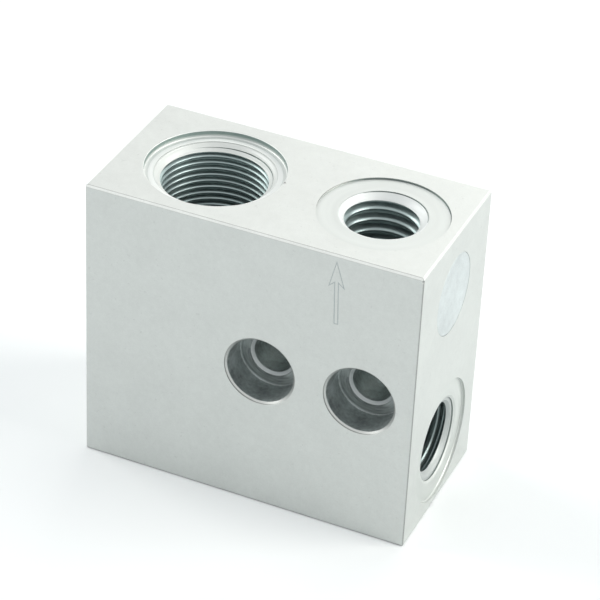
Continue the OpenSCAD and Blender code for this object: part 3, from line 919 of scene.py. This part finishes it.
def nicks():
    """Dents at a corner, on two edges, at the cavity's rim and in the left screw hole."""
    top = Vector((block_high.x, block_low.y, block_high.z))
    foot = Vector((block_high.x, block_low.y, block_low.z))
    made = [
        nick(name, corner + dent.offset * MM, dent.radius)
        for name, corner, dent in (
            ("corner_nick", top, CORNER_NICK),
            ("front_nick", top, FRONT_NICK),
            ("foot_nick", foot, FOOT_NICK),
        )
    ]
    for name, place, radius, dent in (
        ("rim_nick", cavity.place, LIP_RADIUS, RIM_NICK),
        ("burr", left_hole, shank_radius, BURR),
    ):
        angle = math.radians(dent.angle)
        spot = round_axis(place, radius + dent.outwards, angle, dent.height)
        made.append(nick(name, spot, dent.radius))
    return made


def hole_cutter(name, place):
    """Counterbore and through hole of one mounting screw."""
    wall, head_floor, bright, shank = slots_of(name, "head_wall", "head_floor", "head_edge", "shank")
    # The mouth's chamfer and the back chamfer take the soft painted shade
    edge = slot_of["plain_edge"]
    back = -(block_high.y - block_low.y) / MM
    corners = [
        (0, CUT, 0, edge),
        (HEAD_RADIUS + HEAD_MOUTH_CHAMFER + CUT, CUT, 0, edge),
        (HEAD_RADIUS, -HEAD_MOUTH_CHAMFER, HEAD_ROUNDING, wall),
        (HEAD_RADIUS, HEAD_CORNER_CHAMFER - HEAD_DEPTH, HEAD_ROUNDING, wall),
        (HEAD_RADIUS - HEAD_CORNER_CHAMFER, -HEAD_DEPTH, HEAD_ROUNDING, head_floor),
        (shank_radius + SHANK_CHAMFER, -HEAD_DEPTH, 0, bright),
        (shank_radius, -HEAD_DEPTH - SHANK_CHAMFER, SHANK_ROUNDING, shank),
        (shank_radius, back + SHANK_BACK_CHAMFER, 0, edge),
        (shank_radius + SHANK_BACK_CHAMFER + CUT, back - CUT, 0, edge),
        (0, back - CUT, 0, edge),
    ]
    return lathe(name + "_hole", corners, place, finishes)


def offset_loop(points, distance):
    """Closed loop moved sideways by a distance, with mitred corners."""
    moved = []
    for i, here in enumerate(points):
        back = (here - points[i - 1]).normalized()
        ahead = (points[(i + 1) % len(points)] - here).normalized()
        side = Vector((back.y + ahead.y, -back.x - ahead.x)).normalized()
        stretch = side.dot(Vector((back.y, -back.x)))
        moved.append(here + side * distance / max(stretch, MITRE_LIMIT))
    return moved


def arrow_cutter():
    """Groove along the outline of the flow arrow that points at the outlet."""
    head = ARROW_LENGTH - ARROW_HEAD_LENGTH
    notch = head + ARROW_NOTCH
    right_side = [
        Vector((ARROW_SHAFT_HALF_WIDTH, 0)),
        Vector((ARROW_SHAFT_HALF_WIDTH, notch)),
        Vector((ARROW_HEAD_HALF_WIDTH, head)),
    ]
    left_side = [Vector((-point.x, point.y)) for point in reversed(right_side)]
    outline = [*right_side, Vector((0, ARROW_LENGTH)), *left_side]
    turn = Matrix.Rotation(-ARROW_TILT, 2)
    outline = [turn @ point for point in outline]
    foot = Vector((
        outlet.place.translation.x + ARROW_OFFSET * MM,
        block_low.y,
        block_high.z - (ARROW_TOP_GAP + ARROW_LENGTH) * MM,
    ))
    # Local X to the right, Y up and Z out of the front
    place = Matrix.Translation(foot) @ Matrix.Rotation(math.pi / 2, 4, "X") @ Matrix.Scale(MM, 4)
    half = ARROW_LINE / 2
    return prism(
        "arrow", offset_loop(outline, half), -ARROW_DEPTH, CUT, place, slot_of["mark"], finishes,
        inner_loop=offset_loop(outline, -half),
    )


def valve_block():
    """The blank, less its mouths, threads, drillings, screw holes, arrow, tool marks and nicks."""
    block = blank()
    plug_length = (plug_high.x - plug_low.x) / MM
    plug_bore = radius_of("closing_plug", 1) + SLIDE_GAP / 2
    to_cavity = (plug_place.translation.x - cavity.place.translation.x) / MM
    inlet_start = CUT - PORT_SHAPES["inlet"].depth
    bores = (
        ("inlet_drilling", inlet.place, INLET_DRILLING_RADIUS, inlet_start, -INLET_DRILLING_DEPTH),
        ("cross_drilling", plug_place, CROSS_DRILLING_RADIUS, CUT - plug_length, -to_cavity),
        ("plug_bore", plug_place, plug_bore, CUT, -plug_length),
    )
    tools = [
        cavity_cutter(),
        mouth_thread("cavity"),
        port_cutter("outlet"),
        mouth_thread("outlet"),
        port_cutter("inlet"),
        mouth_thread("inlet"),
        *(bar(*bore, finishes, slot_of["drilling"], segments=SEGMENTS) for bore in bores),
        hole_cutter("left", left_hole),
        hole_cutter("right", right_hole),
        arrow_cutter(),
        *tool_marks(),
        *nicks(),
    ]
    carve(block, [("DIFFERENCE", tool) for tool in tools])
    hand_over(block, "valve", "valve_body")


def closing_plug():
    """Disc pressed in flush with the right face."""
    radius = radius_of("closing_plug", 1)
    length = (plug_high.x - plug_low.x) / MM
    corners = [
        (0, 0),
        (radius, 0, PLUG_FACE_ROUNDING),
        (radius, -length, PLUG_BACK_ROUNDING),
        (0, -length),
    ]
    finish = blasted("plug_face", PLUG_COLOUR, contrast=0.13)
    plug = lathe("closing_disc", corners, plug_place, [finish])
    hand_over(plug, "valve", "closing_plug")


# ---- cartridge


def along_cartridge(turn, height, tilt=0.0):
    """Place on the cartridge's axis, turned about it, with its own Z tilted towards the outside."""
    return (
        cartridge
        @ Matrix.Translation((0, 0, height))
        @ Matrix.Rotation(turn, 4, "Z")
        @ Matrix.Rotation(tilt, 4, "Y")
    )


def round_the_axis(count, offset=0.0):
    """Evenly spaced angles, turned by a share of one space."""
    return [math.tau * (i + offset) / count for i in range(count)]


def cartridge_sleeve(steel):
    """Turned sleeve with its windows, outlet holes and the slots of its top collar."""
    outer = radius_of("cartridge_sleeve")
    foot, top = span_of("cartridge_sleeve")
    piston_foot, piston_top = span_of("compensator_piston")
    piston_bore = radius_of("compensator_piston") + SLIDE_GAP
    cap_foot = span_of("sleeve_cap")[0]
    cap_bore = radius_of("sleeve_cap") + SLIDE_GAP
    snap_low, snap_high = span_of("cap_snap_ring")
    snap_groove = radius_of("cap_snap_ring", 1) + SLIDE_GAP
    seal_low = span_of("lower_backup_ring")[0]
    seal_high = span_of("upper_backup_ring")[1]
    ring_low, ring_high = span_of("sleeve_o_ring")
    seal_floor = outer - (ring_high - ring_low)
    nose_step = span_of("filter_screen")[1]
    nose_top_radius = radius_of("nose_plug")
    shoulder = foot + SHOULDER_RISE
    collar = top - TOP_COLLAR_LENGTH
    soft = EDGE_ROUNDING
    corners = [
        (INLET_BORE_RADIUS, foot, soft),
        (NOSE_RADIUS, foot, soft),
        (NOSE_RADIUS, nose_step),
        (nose_top_radius, nose_step, soft),
        (nose_top_radius, shoulder),
        (outer, shoulder, 2 * soft),
        (outer, seal_low, soft),
        (seal_floor, seal_low),
        (seal_floor, seal_high),
        (outer, seal_high, soft),
        (outer, shoulder + COLLAR_LENGTH, 2 * soft),
        (NECK_RADIUS, shoulder + COLLAR_LENGTH),
        (NECK_RADIUS, collar),
        (outer, collar, 2 * soft),
        (outer, top, 2 * soft),
        (cap_bore, top, 2 * soft),
        (cap_bore, snap_high, soft),
        (snap_groove, snap_high),
        (snap_groove, snap_low),
        (cap_bore, snap_low, soft),
        (cap_bore, cap_foot),
        (piston_bore, cap_foot, soft),
        (piston_bore, piston_foot),
        (INLET_BORE_RADIUS, piston_foot, soft),
    ]
    sleeve = lathe("sleeve", corners, cartridge, [steel], closed=True)
    tools = []
    for turn in round_the_axis(HOLE_COUNT):
        for height, radius in (
            (foot + WINDOW_RISE, WINDOW_RADIUS),
            (piston_top - OUTLET_HOLE_DROP, OUTLET_HOLE_RADIUS),
        ):
            place = along_cartridge(turn, height, math.pi / 2)
            tools.append(bar("hole", place, radius, 0, outer, [steel]))
    loop = rectangle(SLOT_FLOOR_RADIUS, outer + CUT, -SLOT_WIDTH / 2, SLOT_WIDTH / 2)
    for turn in round_the_axis(SLOT_COUNT, 0.5):
        tools.append(prism("slot", loop, collar - CUT, top + CUT, along_cartridge(turn, 0), 0, [steel]))
    carve(sleeve, [("DIFFERENCE", tool) for tool in tools])
    hand_over(sleeve, "valve", "cartridge_sleeve")


def sleeve_cap(steel):
    """Cap with its seal's groove and the tapped hole that it is pulled out by."""
    radius = radius_of("sleeve_cap")
    foot, top = span_of("sleeve_cap")
    seal_low, seal_high = span_of("cap_o_ring")
    seal_floor = radius_of("cap_o_ring") - (seal_high - seal_low)
    soft = EDGE_ROUNDING
    core = PULL_THREAD_CREST - THREAD_CORE_STEP
    corners = [
        (0, foot),
        (radius, foot, 2 * soft),
        (radius, seal_low - CAP_SEAL_GAP, soft),
        (seal_floor, seal_low - CAP_SEAL_GAP),
        (seal_floor, seal_high + CAP_SEAL_GAP),
        (radius, seal_high + CAP_SEAL_GAP, soft),
        (radius, top, 2 * soft),
        (PULL_THREAD_CREST + 3 * soft, top),
        (core, top - THREAD_CORE_STEP - 3 * soft),
        (core, top - PULL_THREAD_DEPTH),
        (0, top - PULL_THREAD_DEPTH),
    ]
    cap = lathe("cap", corners, cartridge, [steel])
    threaded = Port(along_cartridge(0, top), 2 * soft - PULL_THREAD_DEPTH, PULL_THREAD_CREST)
    tool = thread_cutter("pull_thread", threaded, PULL_THREAD, [steel])
    carve(cap, [("DIFFERENCE", tool)])
    hand_over(cap, "valve", "sleeve_cap")


def flat_ring(name, node, inner, outer, material):
    """Ring with rounded edges at the height of a node."""
    low, high = span_of(node)
    corners = rectangle(inner, outer, low, high, EDGE_ROUNDING)
    return lathe(name, corners, cartridge, [material], closed=True)


def cap_snap_ring(steel):
    """Split ring that holds the cap down."""
    outer = radius_of("cap_snap_ring", 1)
    low, high = span_of("cap_snap_ring")
    ring = flat_ring("snap_ring", "cap_snap_ring", outer - SNAP_RING_WIDTH, outer, steel)
    loop = rectangle(0, outer + CUT, -SNAP_RING_OPENING / 2, SNAP_RING_OPENING / 2)
    opening = prism("opening", loop, low - CUT, high + CUT, cartridge, 0, [steel])
    carve(ring, [("DIFFERENCE", opening)])
    hand_over(ring, "valve", "cap_snap_ring")


def retaining_ring(steel):
    """Circlip with two lugs for the pliers."""
    outer = radius_of("retaining_ring", 1)
    inner = outer - RING_WIDTH
    low, high = span_of("retaining_ring")
    ring = flat_ring("circlip", "retaining_ring", inner, outer, steel)
    reach = 2 * outer
    side = (reach * math.cos(RING_LUG_ANGLE), reach * math.sin(RING_LUG_ANGLE))
    wedge = [(0, 0), (side[0], -side[1]), side]
    operations = [("DIFFERENCE", prism("opening", wedge, low - CUT, high + CUT, cartridge, 0, [steel]))]
    lugs = [
        along_cartridge(turn, 0) @ Matrix.Translation((inner, 0, 0))
        for turn in (-RING_LUG_ANGLE, RING_LUG_ANGLE)
    ]
    for place in lugs:
        lug = bar("lug", place, RING_LUG_RADIUS, low, high, [steel], rounding=EDGE_ROUNDING)
        operations.append(("UNION", lug))
    for place in lugs:
        eye = bar("eye", place, RING_LUG_HOLE, low - CUT, high + CUT, [steel])
        operations.append(("DIFFERENCE", eye))
    carve(ring, operations)
    hand_over(ring, "valve", "retaining_ring")


def spring(name, node, wire, turns, body, steel):
    """Coil spring with a closed coil at each end, with a mesh of its own."""
    bottom, top = span_of(node)
    mean = radius_of(node, 1) - wire
    # Each closed coil rises by two radii of the wire, and one more lies beyond each end's centre
    free_rise = top - bottom - 6 * wire
    bm = bmesh.new()
    rings = []
    for step in range(turns * SPRING_STEPS + 1):
        turn = step / SPRING_STEPS
        closed_coils = min(turn, 1) + max(turn - turns + 1, 0)
        open_share = min(max(turn - 1, 0), turns - 2) / (turns - 2)
        height = bottom + wire + 2 * wire * closed_coils + free_rise * open_share
        angle = math.tau * turn
        ring = []
        for around in round_the_axis(WIRE_SIDES):
            radius = mean + wire * math.cos(around)
            spot = round_axis(cartridge, radius, angle, height + wire * math.sin(around))
            ring.append(bm.verts.new(spot))
        rings.append(ring)
    join_rings(bm, rings, [0] * len(rings), closed=False)
    for ring in (rings[0], rings[-1]):
        bm.faces.new(ring)
    coil = solid(name, bm, [steel])
    hand_over(coil, body, node)
    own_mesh(coil)


def rubber(name, colour):
    """Smooth moulded rubber with a faint bloom."""
    finish = Finish(name, metallic=0.0)
    bloom = finish.noise(scale=0.9, detail=3.0)
    grain = finish.noise(scale=14.0, detail=2.0)
    finish.shade(
        Base_Color=finish.ramp(bloom, colour, scaled(colour, 1.9), high=0.7),
        Roughness=finish.spread(bloom, new_low=0.38, new_high=0.52),
    )
    finish.bumps((grain, 0.003))
    return finish.material


def cartridge_pieces():
    """Detailed sleeve, cap, rings and springs, and finishes for the CAD nodes that stay."""
    steel = machined(
        "sleeve_steel", cartridge, (0.44, 0.45, 0.47), roughness=0.28, lines=8.0, contrast=0.15
    )
    dark = machined(
        "ring_steel", cartridge, (0.10, 0.105, 0.115), roughness=0.42, lines=3.0, metallic=0.8
    )
    wire = machined("spring_steel", cartridge, (0.30, 0.31, 0.33), roughness=0.3, lines=12.0)
    cartridge_sleeve(steel)
    sleeve_cap(steel)
    cap_snap_ring(dark)
    retaining_ring(dark)
    spring(
        "piston_spring", "compensator_spring", COMPENSATOR_WIRE, COMPENSATOR_TURNS,
        "valve", wire,
    )
    spring(
        "poppet_spring", "check_spring", CHECK_WIRE, CHECK_TURNS,
        "piston", wire,
    )
    nitrile = rubber("nitrile", (0.018, 0.018, 0.019))
    ptfe = blasted("ptfe", (0.80, 0.80, 0.77), roughness=0.45, grain_depth=0.002, metallic=0.0)
    ground = machined("piston_steel", cartridge, (0.50, 0.51, 0.54), roughness=0.2, lines=14.0)
    turned = machined("turned_steel", cartridge, (0.42, 0.43, 0.44), roughness=0.32)
    stainless = machined("filter_stainless", cartridge, (0.52, 0.53, 0.54), roughness=0.36, lines=5.0)
    brass = machined("jet_brass", cartridge, (0.62, 0.43, 0.16), roughness=0.28, lines=10.0)
    kept = {
        "sleeve_o_ring": nitrile,
        "cap_o_ring": nitrile,
        "lower_backup_ring": ptfe,
        "upper_backup_ring": ptfe,
        "nose_plug": turned,
        "filter_screen": stainless,
        "spring_shim": stainless,
        "compensator_piston": ground,
        "check_retainer": stainless,
        "check_snap_ring": dark,
        "check_poppet": turned,
        "orifice_jet": brass,
    }
    for node, material in kept.items():
        for material_slot in frame["nodes"][node].material_slots:
            material_slot.material = material


made_finishes = block_finishes()
finishes = list(made_finishes.values())
# The block's slots by the names of their finishes
slot_of = {name: number for number, name in enumerate(made_finishes)}
valve_block()
closing_plug()
cartridge_pieces()


# ---- studio


def towards(azimuth, elevation):
    """Direction from the block: azimuth 0 is out of its front, and more is to the right of that."""
    return Vector((
        math.sin(azimuth) * math.cos(elevation),
        -math.cos(azimuth) * math.cos(elevation),
        math.sin(elevation),
    ))


def lamp(name, azimuth, elevation, power, colour):
    """Soft square lamp aimed at the block, with its angles in degrees."""
    data = bpy.data.lights.new(name, "AREA")
    data.shape = "SQUARE"
    data.size = LAMP_SIZE
    data.energy = power
    data.color = colour
    back = towards(math.radians(azimuth), math.radians(elevation))
    light = placed(name, data)
    light.location = block_middle + back * LAMP_DISTANCE
    light.rotation_euler = back.to_track_quat("Z", "Y").to_euler()


def white_world(fill, strength):
    """World that fills the shadows and looks white to the camera and in reflections."""
    world = bpy.data.worlds.new("studio")
    bpy.context.scene.world = world
    nodes = Nodes(world)
    soft = nodes.add("Background", Color=(*fill, 1.0), Strength=strength)
    white = nodes.add("Background", Color=WHITE)
    path = nodes.add("LightPath")
    seen = path.outputs["Is Camera Ray"]
    for name in ("Is Glossy Ray", "Is Transmission Ray"):
        seen = nodes.compute("MAXIMUM", seen, path.outputs[name])
    mix = nodes.add("MixShader", Fac=seen)
    for socket, background in zip(mix.inputs[1:], (soft, white)):
        nodes.feed(socket, background.outputs["Background"])
    nodes.feed(nodes.tree.nodes["World Output"].inputs["Surface"], mix.outputs["Shader"])


def pale_floor(colour, lift):
    """Pale floor under the block, with a faint glow that only the camera sees."""
    mesh = bpy.data.meshes.new("floor")
    half = FLOOR_HALF_WIDTH
    height = block_low.z - FLOOR_GAP * MM
    mesh.from_pydata(
        [(-half, -half, height), (half, -half, height), (half, half, height), (-half, half, height)],
        [], [(0, 1, 2, 3)],
    )
    paper = Finish("floor_paper", metallic=0.0)
    seen = paper.add("LightPath").outputs["Is Camera Ray"]
    paper.shade(
        Base_Color=(*colour, 1.0), Roughness=0.8, Specular_IOR_Level=0.1, Emission_Color=WHITE,
        Emission_Strength=paper.compute("MULTIPLY", seen, lift),
    )
    mesh.materials.append(paper.material)
    placed("floor", mesh)


def camera():
    """The camera that sees the block as the photo does."""
    data = bpy.data.cameras.new("camera")
    data.lens = CAMERA_LENS
    data.sensor_width = CAMERA_SENSOR
    data.clip_start = CAMERA_NEAR
    data.clip_end = CAMERA_FAR
    back = towards(CAMERA_AZIMUTH, CAMERA_ELEVATION)
    level = Vector((math.cos(CAMERA_AZIMUTH), math.sin(CAMERA_AZIMUTH), 0))
    upright = back.cross(level)
    right = level * math.cos(CAMERA_ROLL) + upright * math.sin(CAMERA_ROLL)
    up = back.cross(right)
    aim = block_middle + (right * CAMERA_AIM_RIGHT + up * CAMERA_AIM_UP) * MM
    eye = placed("camera", data)
    turn = Matrix((right, up, back)).transposed().to_4x4()
    eye.matrix_world = Matrix.Translation(aim + back * CAMERA_DISTANCE * MM) @ turn
    bpy.context.scene.camera = eye


camera()
white_world(fill=(0.925, 0.97, 1.0), strength=0.665)
lamp("right_lamp", azimuth=104, elevation=26, power=19.8, colour=(1.0, 0.98, 0.925))
lamp("left_lamp", azimuth=-90, elevation=32, power=11.8, colour=(1.0, 0.99, 0.955))
lamp("back_lamp", azimuth=180, elevation=20, power=5.4, colour=(1.0, 0.985, 0.94))
pale_floor(colour=(0.845, 0.86, 0.865), lift=0.07)
bpy.context.scene.view_settings.view_transform = "Standard"
